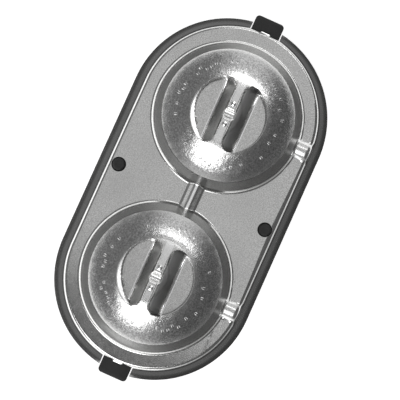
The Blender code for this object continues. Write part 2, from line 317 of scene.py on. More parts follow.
def pocket_height(side, along, across, inset):
    """The two hollows beside the rib, as one height that rises past the crown outside them."""
    radius = np.hypot(along, across)
    depth = DOME_HEIGHT - POCKET_FLOOR
    rib_foot = np.where(across > 0, RIB_FOOT_REAR, RIB_FOOT_FRONT)
    rib_slope = depth / (rib_foot - RIB_HALF_TOP)
    wall_slope = depth / POCKET_WALL_DRAFT
    past_rib = RIB_HALF_TOP - np.abs(across)
    past_rim = radius - POCKET_RIM_RADIUS
    past_wall = past_rim + rim_chamfer_width(side, along, across)
    chamfer = dome_height(POCKET_RIM_RADIUS, 0) + past_rim * RIM_CHAMFER_SLOPE
    rib_side = DOME_HEIGHT + past_rib * rib_slope - inset * np.hypot(1, rib_slope)
    outer_wall = soft_min(
        DOME_HEIGHT + past_wall * wall_slope - sink(wall_slope, inset),
        chamfer - sink(RIM_CHAMFER_SLOPE, inset),
        convex(CHAMFER_ROUNDING, inset),
    )
    share = np.clip(0.5 + 0.5 * (past_rim - past_rib) / POCKET_CORNER_RADIUS, 0, 1)
    past_corner = soft_max(past_rim, past_rib, POCKET_CORNER_RADIUS)
    corner_slope = rib_slope + (wall_slope - rib_slope) * share
    corner = DOME_HEIGHT + past_corner * corner_slope - inset * np.hypot(1, corner_slope)
    floor = POCKET_FLOOR - inset
    inner = soft_max(floor, rib_side, concave(RIB_FLOOR_FILLET, inset))
    outer = soft_max(floor, outer_wall, concave(POCKET_FLOOR_FILLET, inset))
    hollow = soft_max(inner, outer, POCKET_WALL_BLEND)
    return soft_max(hollow, corner, POCKET_CORNER_BLEND)


def rim_chamfer_width(side, along, across):
    """Width of the broken edge inside a pocket's rim, widest towards the rear and the left."""
    turn = np.arctan2(across, side * along)
    return RIM_CHAMFER_REACH * np.clip(np.cos(turn - RIM_CHAMFER_TURN), 0, 1) ** 3


def seat_height(along, across, inset):
    """The wire's groove, which rises past the rib outside it."""
    side = DOME_HEIGHT - SEAT_DEPTH + (np.abs(along) - SEAT_HALF_FLOOR) * SEAT_SIDE_SLOPE
    groove = soft_max(
        DOME_HEIGHT - SEAT_DEPTH - inset,
        side - sink(SEAT_SIDE_SLOPE, inset),
        concave(SEAT_ROUNDING, inset),
    )
    return np.where(np.abs(across) < SEAT_REACH, groove, 2 * DOME_HEIGHT)


def seat_beads(along, across):
    """Metal that the press pushed up on the rib, on both sides of the seat."""
    distance = np.hypot(np.abs(along) - BEAD_DISTANCE, across)
    return BEAD_HEIGHT * (1 - smooth_step(0.0, BEAD_RADIUS, distance))


def link_height(across, inset):
    """The channel that joins the domes, by the distance from its middle."""
    slope = LINK_HEIGHT / (LINK_HALF_FOOT - LINK_HALF_TOP)
    side = (LINK_HALF_FOOT - np.abs(across)) * slope - sink(slope, inset)
    return soft_min(LINK_HEIGHT - inset, side, convex(LINK_ROUNDING, inset))


def vent_height(along, across, inset):
    """A vent bead over the surface that carries it, fading out towards the skirt.

    Here along is the distance from the dome's centre along the bead, and across the one from its middle.
    """
    top = VENT_HEIGHT - across**2 / (2 * VENT_TOP_RADIUS)
    half_foot = VENT_HALF_FOOT - VENT_INNER_NARROWING * inset
    side = (half_foot - np.abs(across)) * VENT_SIDE_SLOPE
    bead = soft_max(soft_min(top, side, VENT_ROUNDING), 0.0, VENT_ROUNDING)
    fade_out = 1 - smooth_step(*VENT_FADE, along)
    fade_in = smooth_step(VENT_START - VENT_RAMP, VENT_START, along)
    return bead * fade_out * fade_in


def lid_height(side, along, across, inset):
    """Height over the flange of a point of one half, from its dome centre; along points outwards."""
    radius = np.hypot(along, across)
    dome = soft_min(
        dome_height(radius, inset),
        pocket_height(side, along, across, inset),
        convex(RIM_ROUNDING, inset),
    )
    dome = soft_min(dome, seat_height(along, across, inset), convex(SEAT_ROUNDING, inset))
    dome = dome + seat_beads(along, across)
    link = np.where(along < 0, link_height(across, inset), -DOME_HEIGHT)
    vent = np.where(across < -VENT_START, vent_height(-across, along, inset) - inset, -DOME_HEIGHT)
    low = soft_max(soft_max(link, vent, VENT_ROUNDING), -inset, concave(LINK_ROUNDING, inset))
    return soft_max(dome, low, concave(FOOT_FILLET, inset))


def ring_radii():
    """Radii of the rings round a dome, closest where the surface is steep."""
    radius, radii = 0.0, []
    shoulder = shoulder_radius()
    while radius < LAST_RING_RADIUS:
        radii.append(radius)
        at_rim = RIM_ZONE_START < radius < RIM_ZONE_END
        steep = radius < SEAT_ZONE or at_rim or radius > shoulder
        step = FINE_STEP if steep else COARSE_STEP
        radius = shoulder if radius < shoulder < radius + step else radius + step
    radii.append(LAST_RING_RADIUS)
    return radii


def spread(low, high, steps):
    """Evenly spaced values from low up to, but without, high."""
    return list(np.linspace(low, high, steps + 1)[:-1])


def arc(centre_x, centre_y, radius, start, end, steps):
    """Points of an arc, both of its ends included."""
    turns = np.linspace(start, end, steps + 1)
    return [(centre_x + radius * math.cos(turn), centre_y + radius * math.sin(turn)) for turn in turns]


def half_boundary():
    """Edge of one half's flat as (along, across) from its dome centre, and how much of it has a skirt.

    It runs from the seam along the front, round the end, back along the rear and down the seam,
    where its points lie closest beside the link channel.
    """
    centre = OUTLINE_X - DOME_X
    front = [(along, -FLAT_RADIUS) for along in spread(-DOME_X, centre, STRAIGHT_STEPS)]
    end = arc(centre, 0, FLAT_RADIUS, -QUARTER_TURN, QUARTER_TURN, END_STEPS)[:-1]
    rear = [(along, FLAT_RADIUS) for along in spread(centre, -DOME_X, STRAIGHT_STEPS)]
    seam = [(-DOME_X, FLAT_RADIUS * (share + share**3) / 2) for share in spread(1.0, -1.0, SEAM_STEPS)]
    skirted = len(front) + len(end) + len(rear) + 1
    return np.array(front + end + rear + seam), skirted


def flat_grid(side, inset):
    """Rings of points of one half's flat and dome, as an array of (ring, step, xyz)."""
    edge, _ = half_boundary()
    reach = np.hypot(edge[:, 0], edge[:, 1])
    direction = edge / reach[:, None]
    rings = [direction * radius for radius in ring_radii()]
    last = rings[-1]
    rings += [last + (edge - last) * (i + 1) / FLAT_STEPS for i in range(FLAT_STEPS)]
    plan = np.array(rings)
    along, across = plan[..., 0], plan[..., 1]
    return np.stack([along, across, FLANGE_TOP + lid_height(side, along, across, inset)], axis=-1)


def skirt_profile():
    """Points of the outer side below the flat's edge, as (outwards, up): bend, shoulder, skirt and lip."""
    points = []
    for turn in np.linspace(0, BEND_TURN, BEND_STEPS + 1)[1:]:
        points.append((BEND_RADIUS * math.sin(turn), BEND_RADIUS * (math.cos(turn) - 1)))
    out = points[-1][0] - SHOULDER_RADIUS * math.sin(BEND_TURN)
    up = points[-1][1] - SHOULDER_RADIUS * math.cos(BEND_TURN)
    for turn in np.linspace(BEND_TURN, QUARTER_TURN - SKIRT_DRAFT, SHOULDER_STEPS + 1)[1:]:
        points.append((out + SHOULDER_RADIUS * math.sin(turn), up + SHOULDER_RADIUS * math.cos(turn)))
    skirt_height = FLANGE_TOP - LID_LOW.z
    lip_top = LIP_HEIGHT - skirt_height
    out, up = points[-1]
    lip_out = out + (up - lip_top) * math.tan(SKIRT_DRAFT)
    for height in np.linspace(up, -skirt_height, SKIRT_STEPS + 1)[1:]:
        straight = out + (up - height) * math.tan(SKIRT_DRAFT)
        flared = lip_out + (lip_top - height) * math.tan(LIP_FLARE)
        points.append((float(soft_max(straight, flared, LIP_ROUNDING)), height))
    return np.array(points)


def profile_normals(points):
    """Outward normals of a profile that starts level at the origin."""
    padded = np.vstack([[(-MM, 0)], [(0, 0)], points, [2 * points[-1] - points[-2]]])
    tangent = padded[3:] - padded[1:-2]
    normal = np.stack([-tangent[:, 1], tangent[:, 0]], axis=-1)
    return normal / np.linalg.norm(normal, axis=1)[:, None]


def skirt_grid(inset):
    """Rings of the bend, skirt and lip of one half, in the same form as the flat's."""
    edge, skirted = half_boundary()
    edge = edge[:skirted]
    outward = np.stack([np.maximum(edge[:, 0] - OUTLINE_X + DOME_X, 0), edge[:, 1]], axis=-1)
    outward /= np.linalg.norm(outward, axis=1)[:, None]
    profile = skirt_profile()
    normals = profile_normals(profile)
    lengths = np.cumsum(np.linalg.norm(np.diff(np.vstack([[0, 0], profile]), axis=0), axis=1))
    on_front = edge[:, 1] < 0
    rings = []
    for (out, up), (normal_out, normal_up), length in zip(profile, normals, lengths):
        vent = vent_height(FLAT_RADIUS + length, edge[:, 0], inset)
        lift = np.where(on_front, vent, 0) - inset
        plan = edge + outward * (out + lift * normal_out)[:, None]
        rings.append(np.column_stack([plan, FLANGE_TOP + up + lift * normal_up]))
    return np.array(rings)


def index_rows(count, rows):
    """Vertex indices of points that were added as rows of count points each."""
    return [list(range(row * count, (row + 1) * count)) for row in range(rows)]


def grid_faces(first, second, closed):
    """Quads between two rows of vertex indices, which run once round when they are closed."""
    faces = [(a, b, next_b, next_a) for a, b, next_a, next_b in zip(first, second, first[1:], second[1:])]
    if closed:
        faces.append((first[-1], second[-1], second[0], first[0]))
    return faces


def turned(faces, over):
    """The faces as they are, or turned over."""
    return [tuple(reversed(face)) for face in faces] if over else faces


def build_stamping():
    """The whole lid as one closed sheet-metal body, before its openings are cut."""
    points, faces = [], []

    def add(row):
        start = len(points)
        points.extend(row)
        return list(range(start, start + len(row)))

    for side in SIDES.values():
        lips = []
        for inset in (0, METAL):
            flat = flat_grid(side, inset)
            skirt = skirt_grid(inset)
            for grid in (flat, skirt):
                grid[..., 0] = side * (grid[..., 0] + DOME_X)
            centre = add([flat[0, 0]])[0]
            rings = [add(ring) for ring in flat[1:]]
            skin = [(centre, here, after) for here, after in zip(rings[0], rings[0][1:] + rings[0][:1])]
            for inner, outer in zip(rings, rings[1:]):
                skin += grid_faces(inner, outer, True)
            edge = rings[-1][: skirt.shape[1]]
            for ring in skirt:
                below = add(ring)
                skin += grid_faces(edge, below, False)
                edge = below
            lips.append(edge)
            faces += turned(skin, (side > 0) == (inset > 0))
        faces += turned(grid_faces(*lips, False), side < 0)
    return mesh_object("cover_stamping", points, faces)


def mesh_object(name, points, faces):
    """A smooth mesh object with doubled points welded and its faces pointing out."""
    mesh = bpy.data.meshes.new(name)
    mesh.from_pydata([tuple(point) for point in points], [], faces)
    form = bmesh.new()
    form.from_mesh(mesh)
    bmesh.ops.remove_doubles(form, verts=form.verts, dist=1e-7)
    bmesh.ops.recalc_face_normals(form, faces=form.faces)
    form.to_mesh(mesh)
    form.free()
    mesh.shade_smooth()
    piece = bpy.data.objects.new(name, mesh)
    bpy.context.scene.collection.objects.link(piece)
    return piece


def loft(name, rings):
    """A closed solid through rings of equally many points, with a flat cap on both ends."""
    points = [point for ring in rings for point in ring]
    rows = index_rows(len(rings[0]), len(rings))
    faces = [tuple(reversed(rows[0])), tuple(rows[-1])]
    for low, high in zip(rows, rows[1:]):
        faces += grid_faces(low, high, True)
    return mesh_object(name, points, faces)


def rounded_levels(low, high, edge, ease):
    """Insets and heights of the rings of a slab with rounded edges, from its underside up."""
    lower = [(edge, low), (ease, low + ease), (0.0, low + edge)]
    upper = [(0.0, high - edge), (ease, high - ease), (edge, high)]
    return lower + upper


def circle(centre_x, centre_y, radius, z, steps):
    outline = arc(centre_x, centre_y, radius, 0, FULL_TURN, steps)[:-1]
    return [(x, y, z) for x, y in outline]


def obround(radius, z):
    """Outline of two half circles joined by straight sides."""
    right = arc(OUTLINE_X, 0, radius, -QUARTER_TURN, QUARTER_TURN, SHEET_END_STEPS)
    left = arc(-OUTLINE_X, 0, radius, QUARTER_TURN, 3 * QUARTER_TURN, SHEET_END_STEPS)
    return [(x, y, z) for x, y in right + left]


def boolean(target, operation, tools):
    """Joins tools to target, or cuts them out of it, and removes them."""
    for tool in tools:
        step = target.modifiers.new(tool.name, "BOOLEAN")
        step.operation = operation
        step.solver = "EXACT"
        step.object = tool
    evaluated = target.evaluated_get(bpy.context.evaluated_depsgraph_get())
    target.data = bpy.data.meshes.new_from_object(evaluated)
    target.modifiers.clear()
    for tool in tools:
        bpy.data.objects.remove(tool)


def button_hole(side):
    """The tool that cuts a button's hole."""
    heights = (FLANGE_TOP - METAL - CUT_OVERLAP, FLANGE_TOP + CUT_OVERLAP)
    rings = [circle(0, side * BUTTON_Y, BUTTON_HOLE_RADIUS, z, BUTTON_HOLE_STEPS) for z in heights]
    return loft("button_hole", rings)


def tab_slot(side):
    """The tool that cuts a pull tab's slot into the flange's edge and the whole skirt."""
    near, far = side * TAB_SLOT_START, side * (LID_HIGH.x + CUT_OVERLAP)
    half = TAB_SLOT_HALF_WIDTH
    outline = [(near, -half), (far, -half), (far, half), (near, half)]
    heights = (LID_LOW.z - CUT_OVERLAP, FLANGE_TOP + CUT_OVERLAP)
    return loft("tab_slot", [[(x, y, z) for x, y in outline] for z in heights])


def tongue(side):
    """The short flat tongue of the flange that stays over the root of a pull tab."""
    corner_along, corner_across = TONGUE_CORNER
    bottom = FLANGE_TOP - METAL
    rings = []
    for shrink, z in (
        (TONGUE_EDGE, bottom + TONGUE_GAP),
        (0.0, bottom + TONGUE_EDGE),
        (0.0, FLANGE_TOP - TONGUE_EDGE),
        (TONGUE_EASE, FLANGE_TOP - TONGUE_EASE),
        (TONGUE_EDGE, FLANGE_TOP - TONGUE_GAP),
    ):
        half = TONGUE_HALF_WIDTH - shrink
        tip = TONGUE_TIP - shrink
        outline = [(TONGUE_ROOT, -half), (tip - corner_along, -half), (tip, corner_across - half)]
        outline += [(x, -y) for x, y in reversed(outline)]
        rings.append([(side * x, y, z) for x, y in outline])
    return loft("tongue", rings)


def finish_mesh(piece, sharp_angle):
    """Shades a piece smooth, apart from edges that are sharper than the angle, in degrees."""
    piece.data.shade_smooth()
    piece.data.set_sharp_from_angle(angle=math.radians(sharp_angle))


def crease_shoulders(cover):
    """Marks the edges where each dome's crown meets its wall as sharp."""
    shoulder = shoulder_radius()
    lowest = FLANGE_TOP + dome_height(shoulder, 0) - SHOULDER_SEARCH_HEIGHT
    on_shoulder = []
    for vertex in cover.data.vertices:
        x, y, z = vertex.co
        off_ring = abs(math.hypot(abs(x) - DOME_X, y) - shoulder)
        on_shoulder.append(off_ring < SHOULDER_SEARCH_RADIUS and z > lowest)
    for edge in cover.data.edges:
        if all(on_shoulder[i] for i in edge.vertices):
            edge.use_edge_sharp = True


def build_cover(steel):
    """The stamping with its holes, slots and tongues."""
    cover = build_stamping()
    cuts = [cut(side) for side in SIDES.values() for cut in (button_hole, tab_slot)]
    boolean(cover, "DIFFERENCE", cuts)
    boolean(cover, "UNION", [tongue(side) for side in SIDES.values()])
    finish_mesh(cover, COVER_SHARP_ANGLE)
    crease_shoulders(cover)
    cover.data.materials.clear()
    cover.data.materials.append(steel)
    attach(cover, "cover")
    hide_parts("cover_shell")


def build_sheet(rubber):
    """The flat sheet with rounded edges, its two buttons and the mouths of its bellows."""
    low, high = SHEET_LOW.z, SHEET_LOW.z + SHEET_THICKNESS
    levels = rounded_levels(low, high, SHEET_EDGE, SHEET_EASE)
    sheet = loft("gasket_moulding", [obround(SHEET_RADIUS - inset, z) for inset, z in levels])
    boolean(sheet, "UNION", [button(side, high) for side in SIDES.values()])
    boolean(sheet, "DIFFERENCE", [mouth(side, low, high) for side in SIDES.values()])
    finish_mesh(sheet, SHEET_SHARP_ANGLE)
    sheet.data.materials.clear()
    sheet.data.materials.append(rubber)
    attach(sheet, "gasket")
    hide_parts("gasket_sheet")


def button(side, sheet_top):
    """A locating button with a rounded, slightly dished top."""
    profile = [(BUTTON_RADIUS, sheet_top - BUTTON_ROOT_DEPTH)]
    profile += [(BUTTON_RADIUS - inset, SHEET_HIGH.z - drop) for inset, drop in BUTTON_TOP]
    return loft("button", [circle(0, side * BUTTON_Y, radius, z, BUTTON_STEPS) for radius, z in profile])


def mouth(side, sheet_low, sheet_high):
    """The tool that cuts the sheet away over a bellows."""
    heights = (sheet_low - CUT_OVERLAP, sheet_high + CUT_OVERLAP)
    return loft("mouth", [circle(side * DOME_X, 0, MOUTH_RADIUS, z, MOUTH_STEPS) for z in heights])


def bellows_profile(inset):
    """Wall of a bellows from the sheet down to the middle of its foot, as (radius, z)."""
    middle = (BELLOWS_CREST_RADIUS + BELLOWS_WAIST_RADIUS) / 2
    swing = (BELLOWS_CREST_RADIUS - BELLOWS_WAIST_RADIUS) / 2
    points = []
    for share in np.linspace(0, 1, BELLOWS_FOLDS * FOLD_STEPS + 1):
        wave = math.cos(FULL_TURN * BELLOWS_FOLDS * share)
        points.append((middle + swing * wave - inset, BELLOWS_TOP + (CUP_TOP - BELLOWS_TOP) * share))
    points.append((CUP_RADIUS - inset, CUP_WALL_TOP))
    corner = CUP_RADIUS - CUP_FOOT_RADIUS
    points += arc(CUP_FOOT_RADIUS - inset, inset + corner, corner, 0, -QUARTER_TURN, CORNER_STEPS)
    recess = inset + FOOT_RECESS_DEPTH
    points += zip(FOOT_RECESS_OUTER, (inset, recess))
    points += zip(FOOT_RECESS_INNER, (recess, inset))
    points.append((FOOT_CENTRE_RADIUS, inset))
    return points


def build_bellows(side_name, side, rubber):
    """A one-piece convoluted wall and foot, stretched between the sheet and the cup."""
    centre = side * DOME_X
    profile = bellows_profile(0) + list(reversed(bellows_profile(BELLOWS_WALL)))
    points = []
    for turn in spread(0, FULL_TURN, BELLOWS_TURN_STEPS):
        cosine, sine = math.cos(turn), math.sin(turn)
        points += [(centre + radius * cosine, radius * sine, z) for radius, z in profile]
    rows = index_rows(len(profile), BELLOWS_TURN_STEPS)
    faces = []
    for here, after in zip(rows, rows[1:] + rows[:1]):
        faces += grid_faces(here, after, True)
    skin = mesh_object(f"bellows_skin_{side_name}", points, faces)
    finish_mesh(skin, BELLOWS_SHARP_ANGLE)
    skin.data.materials.append(rubber)
    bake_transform(skin)
    nodes = [f"bellows_fold_{side_name}_{i + 1}" for i in range(BELLOWS_FOLDS)]
    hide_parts(*nodes, f"bellows_cup_{side_name}")


def tab_outline(inset):
    """Outline of a pull tab towards +X, as (x, y)."""
    half_width = (TAB_HIGH.y - TAB_LOW.y) / 2
    corner_x, corner_y = TAB_HIGH.x - TAB_CORNER, half_width - TAB_CORNER
    radius = TAB_CORNER - inset
    front = arc(corner_x, -corner_y, radius, -QUARTER_TURN, 0, CORNER_STEPS)
    rear = arc(corner_x, corner_y, radius, 0, QUARTER_TURN, CORNER_STEPS)
    return [(TAB_ROOT, inset - half_width), *front, *rear, (TAB_ROOT, half_width - inset)]


def build_tab(side_name, side, rubber):
    """A pull tab with rounded corners and edges, from inside the sheet's edge to its tip."""
    low, high = TAB_LOW.z, TAB_HIGH.z
    levels = rounded_levels(low, high, TAB_EDGE, TAB_EASE)
    rings = [[(side * x, y, z) for x, y in tab_outline(inset)] for inset, z in levels]
    tab = loft(f"tab_skin_{side_name}", rings)
    form = bmesh.new()
    form.from_mesh(tab.data)
    for i in range(TAB_SLICES):
        cut_x = side * (TAB_FIRST_SLICE + i * TAB_SLICE)
        geometry = form.verts[:] + form.edges[:] + form.faces[:]
        bmesh.ops.bisect_plane(form, geom=geometry, plane_co=(cut_x, 0, 0), plane_no=(1, 0, 0))
    form.to_mesh(tab.data)
    form.free()
    finish_mesh(tab, TAB_SHARP_ANGLE)
    tab.data.materials.append(rubber)
    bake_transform(tab)
    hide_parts(f"pull_tab_{side_name}")


class Nodes:
    """Short calls for the node tree of a material or a world."""

    def __init__(self, owner):
        owner.use_nodes = True
        self.tree = owner.node_tree
        self.shader = self.tree.nodes.get("Principled BSDF") or self.tree.nodes["Background"]

    def add(self, kind, inputs=None, **settings):
        node = self.tree.nodes.new(kind)
        for key, value in settings.items():
            setattr(node, key, value)
        for key, value in (inputs or {}).items():
            self.put(node, key, value)
        return node

    def put(self, node, key, value):
        """Sets an input to a value, or links it to another node's output."""
        if isinstance(value, bpy.types.NodeSocket):
            self.tree.links.new(value, node.inputs[key])
        else:
            node.inputs[key].default_value = value

    def noise(self, vector, scale, detail=3.0, roughness=0.5):
        inputs = {"Vector": vector, "Scale": scale, "Detail": detail, "Roughness": roughness}
        return self.add("ShaderNodeTexNoise", inputs).outputs["Fac"]

    def span(self, value, low, high, to_low, to_high):
        """Maps value from one range to another, and clamps it."""
        inputs = {"Value": value, "From Min": low, "From Max": high, "To Min": to_low, "To Max": to_high}
        return self.add("ShaderNodeMapRange", inputs).outputs["Result"]

    def rising(self, value, low, high):
        """Goes from 0 to 1 as value goes from low to high."""
        return self.span(value, low, high, 0.0, 1.0)

    def falling(self, value, low, high):
        """Goes from 1 to 0 as value goes from low to high."""
        return self.span(value, low, high, 1.0, 0.0)

    def maths(self, operation, a, b=0.0):
        return self.add("ShaderNodeMath", {0: a, 1: b}, operation=operation).outputs[0]

    def absolute(self, value):
        return self.maths("ABSOLUTE", value)

    def product(self, *factors):
        return functools.reduce(lambda a, b: self.maths("MULTIPLY", a, b), factors)

    def largest(self, *values):
        return functools.reduce(lambda a, b: self.maths("MAXIMUM", a, b), values)

    def facing(self, way, direction):
        """Cosine of the angle between a way and a fixed direction."""
        inputs = {0: way, 1: direction}
        return self.add("ShaderNodeVectorMath", inputs, operation="DOT_PRODUCT").outputs["Value"]

    def mix(self, share, low, high):
        return self.add("ShaderNodeMix", {0: share, 6: low, 7: high}, data_type="RGBA").outputs[2]

    def bump(self, height, distance, normal=None):
        node = self.add("ShaderNodeBump", {"Height": height, "Distance": distance, "Strength": 1.0})
        if normal is not None:
            self.put(node, "Normal", normal)
        return node.outputs["Normal"]


def grey(level, tint=0.0):
    """A grey, a little warmer with more tint."""
    return (level, level, level * (1 - tint), 1.0)


DULL_ZINC = grey(0.46, 0.01)
BRIGHT_ZINC = grey(0.72, 0.01)
# Near-white colour of the painted highlights on the edges
HIGHLIGHT_WHITE = grey(0.95)
# Dark grey of the painted shade on the ribs' front walls
SHADED_WALL = grey(0.28)


def raised_marks(nodes, radius, angle):
    """Scattered short bars in a ring on each crown, in place of the stamped lettering."""
    step = nodes.maths("MULTIPLY", angle, MARKS_PER_TURN / FULL_TURN)
    off_middle = nodes.absolute(nodes.maths("SUBTRACT", nodes.maths("FRACT", step), 0.5))
    bar = nodes.falling(off_middle, *MARK_SIDE)
    number = nodes.maths("FLOOR", step)
    chance = nodes.add("ShaderNodeTexWhiteNoise", {"W": number}, noise_dimensions="1D").outputs
    kept = nodes.rising(chance["Value"], *MARK_CHANCE)
    place = nodes.add("ShaderNodeSeparateColor", {0: chance["Color"]}).outputs["Green"]
    middle = nodes.span(place, 0.0, 1.0, *MARK_RADII)
    off_end = nodes.absolute(nodes.maths("SUBTRACT", radius, middle))
    length = nodes.falling(off_end, 0.3 * MARK_LENGTH, 0.6 * MARK_LENGTH)
    return nodes.product(bar, kept, length)


def painted_line_beside_rib_feet(nodes, rear, rise, in_pocket):
    """Painted highlight: the bright line beside each rib's foot, on a pocket's floor."""
    foot = nodes.span(rear, -0.1 * MM, 0.1 * MM, RIB_FOOT_FRONT, RIB_FOOT_REAR)
    past_foot = nodes.maths("SUBTRACT", nodes.absolute(rear), foot)
    off_line = nodes.absolute(nodes.maths("SUBTRACT", past_foot, FOOT_LINE_OFFSET))
    line = nodes.falling(off_line, 0.3 * MM, 0.55 * MM)
    deep = nodes.falling(rise, POCKET_FLOOR + 0.6 * MM, POCKET_FLOOR + 1.4 * MM)
    return nodes.product(line, in_pocket, deep)


def painted_highlight_on_rib(nodes, along, rear, rise, in_pocket):
    """Painted highlight on the top of each rib, apart from its wire seat."""
    on_rib = nodes.span(nodes.absolute(rear), RIB_HALF_TOP, RIB_HALF_TOP + 0.4 * MM, RIB_HIGHLIGHT, 0.0)
    beside_seat = nodes.rising(nodes.absolute(along), 2.4 * MM, 3.2 * MM)
    on_top = nodes.rising(rise, 11.0 * MM, 12.0 * MM)
    return nodes.product(on_rib, in_pocket, nodes.product(beside_seat, on_top))


def painted_highlight_on_link(nodes, along, rear, rise):
    """Painted highlight on the crest of the channel between the domes."""
    crest = nodes.falling(nodes.absolute(rear), 0.45 * MM, 0.8 * MM)
    off_crest = nodes.absolute(nodes.maths("SUBTRACT", rise, LINK_HEIGHT))
    on_link = nodes.falling(off_crest, 0.1 * MM, 0.3 * MM)
    between_domes = nodes.falling(along, 10.0 * MM - DOME_X, 11.0 * MM - DOME_X)
    return nodes.product(crest, on_link, between_domes)


def painted_highlight_on_rim(nodes, radius, rise):
    """Painted highlight on the broken edge inside each pocket's rim."""
    near_rim = nodes.rising(radius, POCKET_RIM_RADIUS - 2.4 * MM, POCKET_RIM_RADIUS - 2.0 * MM)
    inside_rim = nodes.falling(radius, POCKET_RIM_RADIUS, POCKET_RIM_RADIUS + 0.3 * MM)
    above_wall = nodes.rising(rise, 9.2 * MM, 9.7 * MM)
    below_rim = nodes.falling(rise, 11.7 * MM, 12.0 * MM)
    return nodes.product(near_rim, inside_rim, nodes.product(above_wall, below_rim))


def painted_highlights(nodes, radius, along, rear, rise):
    """Share of painted highlight on the pockets' rims, the rib tops, the link's crest and the lines beside
    the rib feet.
    """
    in_pocket = nodes.falling(radius, POCKET_RIM_RADIUS - 0.5 * MM, POCKET_RIM_RADIUS)
    return nodes.largest(
        painted_line_beside_rib_feet(nodes, rear, rise, in_pocket),
        painted_highlight_on_rim(nodes, radius, rise),
        painted_highlight_on_rib(nodes, along, rear, rise, in_pocket),
        painted_highlight_on_link(nodes, along, rear, rise),
    )


def steel_material():
    """Satin zinc-plated steel: sandy grain on the flat, smoother and mottled where it was drawn, with
    painted highlights on its edges and painted shade on the ribs' front walls.
    """
    material = bpy.data.materials.new("zinc_plated_steel")
    nodes = Nodes(material)
    place = nodes.add("ShaderNodeTexCoord").outputs["Object"]
    split = nodes.add("ShaderNodeSeparateXYZ", {0: place}).outputs
    rear = split["Y"]
    along = nodes.maths("SUBTRACT", nodes.absolute(split["X"]), DOME_X)
    from_dome = nodes.add("ShaderNodeCombineXYZ", {0: along, 1: rear}).outputs[0]
    radius = nodes.add("ShaderNodeVectorMath", {0: from_dome}, operation="LENGTH").outputs["Value"]
    angle = nodes.maths("ARCTAN2", rear, along)
    rise = nodes.maths("SUBTRACT", split["Z"], FLANGE_TOP)

    # Zones of the stamping
    high = nodes.rising(rise, 7.5 * MM, 9.0 * MM)
    crown = nodes.product(high, nodes.rising(radius, 15.4 * MM, 17.0 * MM))
    drawn = nodes.rising(rise, 0.05 * MM, 0.5 * MM)
    above_floor = nodes.rising(rise, POCKET_FLOOR + 0.5 * MM, POCKET_FLOOR + 1.2 * MM)
    below_top = nodes.falling(rise, 11.0 * MM, 11.8 * MM)
    beside_rib = nodes.falling(nodes.absolute(rear), RIB_FOOT_FRONT, RIB_FOOT_FRONT + 1.0 * MM)
    inside_rim = nodes.falling(radius, 15.0 * MM, 15.4 * MM)
    rib_wall = nodes.product(nodes.product(above_floor, below_top), nodes.product(beside_rib, inside_rim))
    # Painted shade: the ribs' front walls are darkened towards SHADED_WALL
    front_wall_shade = nodes.product(rib_wall, nodes.span(rear, -3.0 * MM, -2.0 * MM, 0.9, 0.0))
    on_wall = nodes.span(radius, shoulder_radius(), shoulder_radius() + 0.3 * MM, 0.0, WALL_ROUGHNESS)
    above_foot = nodes.rising(rise, 0.8 * MM, 1.8 * MM)

    grain = nodes.noise(place, GRAIN_SCALE, 2.0)
    specks = nodes.noise(place, SPECKS_SCALE, 3.0, 0.7)
    blotches = nodes.noise(place, BLOTCHES_SCALE, 4.0, 0.6)
    clouds = nodes.noise(place, CLOUDS_SCALE, 3.0)

    colour = nodes.mix(nodes.rising(grain, 0.3, 0.7), DULL_ZINC, BRIGHT_ZINC)
    colour = nodes.mix(nodes.span(clouds, 0.35, 0.7, 0.0, 0.35), colour, DULL_ZINC)
    speckled = nodes.mix(nodes.rising(specks, 0.32, 0.68), grey(0.26), grey(0.74))
    colour = nodes.mix(nodes.product(crown, 0.8), colour, speckled)
    # Painted highlights: near-white colour on the pockets' rims, the rib tops, the link's crest and beside
    # the rib feet
    colour = nodes.mix(painted_highlights(nodes, radius, along, rear, rise), colour, HIGHLIGHT_WHITE)
    # Painted shade on the ribs' front walls
    colour = nodes.mix(front_wall_shade, colour, SHADED_WALL)
    nodes.put(nodes.shader, "Base Color", colour)
    nodes.put(nodes.shader, "Metallic", 1.0)

    rough_flat = nodes.span(blotches, 0.3, 0.7, 0.12, 0.16)
    rough_drawn = nodes.span(blotches, 0.3, 0.7, 0.15, 0.25)
    difference = nodes.maths("SUBTRACT", rough_drawn, rough_flat)
    roughness = nodes.maths("ADD", rough_flat, nodes.product(difference, drawn))
    rough_rib = nodes.product(rib_wall, RIB_WALL_ROUGHNESS)
    rough_wall = nodes.product(on_wall, above_foot)
    nodes.put(nodes.shader, "Roughness", nodes.largest(roughness, rough_rib, rough_wall))

    fine = nodes.bump(grain, 0.005 * MM)
    pitted = nodes.bump(nodes.product(specks, crown), 0.04 * MM, fine)
    mottled = nodes.bump(nodes.product(blotches, crown), 0.09 * MM, pitted)
    marks = nodes.product(raised_marks(nodes, radius, angle), high)
    nodes.put(nodes.shader, "Normal", nodes.bump(marks, MARK_HEIGHT, mottled))
    return material


def rubber_material():
    """Matt moulded rubber with a fine skin texture and a little bloom."""
    material = bpy.data.materials.new("black_rubber")
    nodes = Nodes(material)
    place = nodes.add("ShaderNodeTexCoord").outputs["Object"]
    skin = nodes.noise(place, RUBBER_SKIN_SCALE, 3.0)
    bloom = nodes.noise(place, RUBBER_BLOOM_SCALE, 4.0, 0.6)
    colour = nodes.mix(nodes.rising(bloom, 0.35, 0.75), grey(0.007), grey(0.018))
    nodes.put(nodes.shader, "Base Color", colour)
    nodes.put(nodes.shader, "Roughness", nodes.span(bloom, 0.3, 0.7, 0.5, 0.68))
    nodes.put(nodes.shader, "Normal", nodes.bump(skin, 0.02 * MM))
    return material


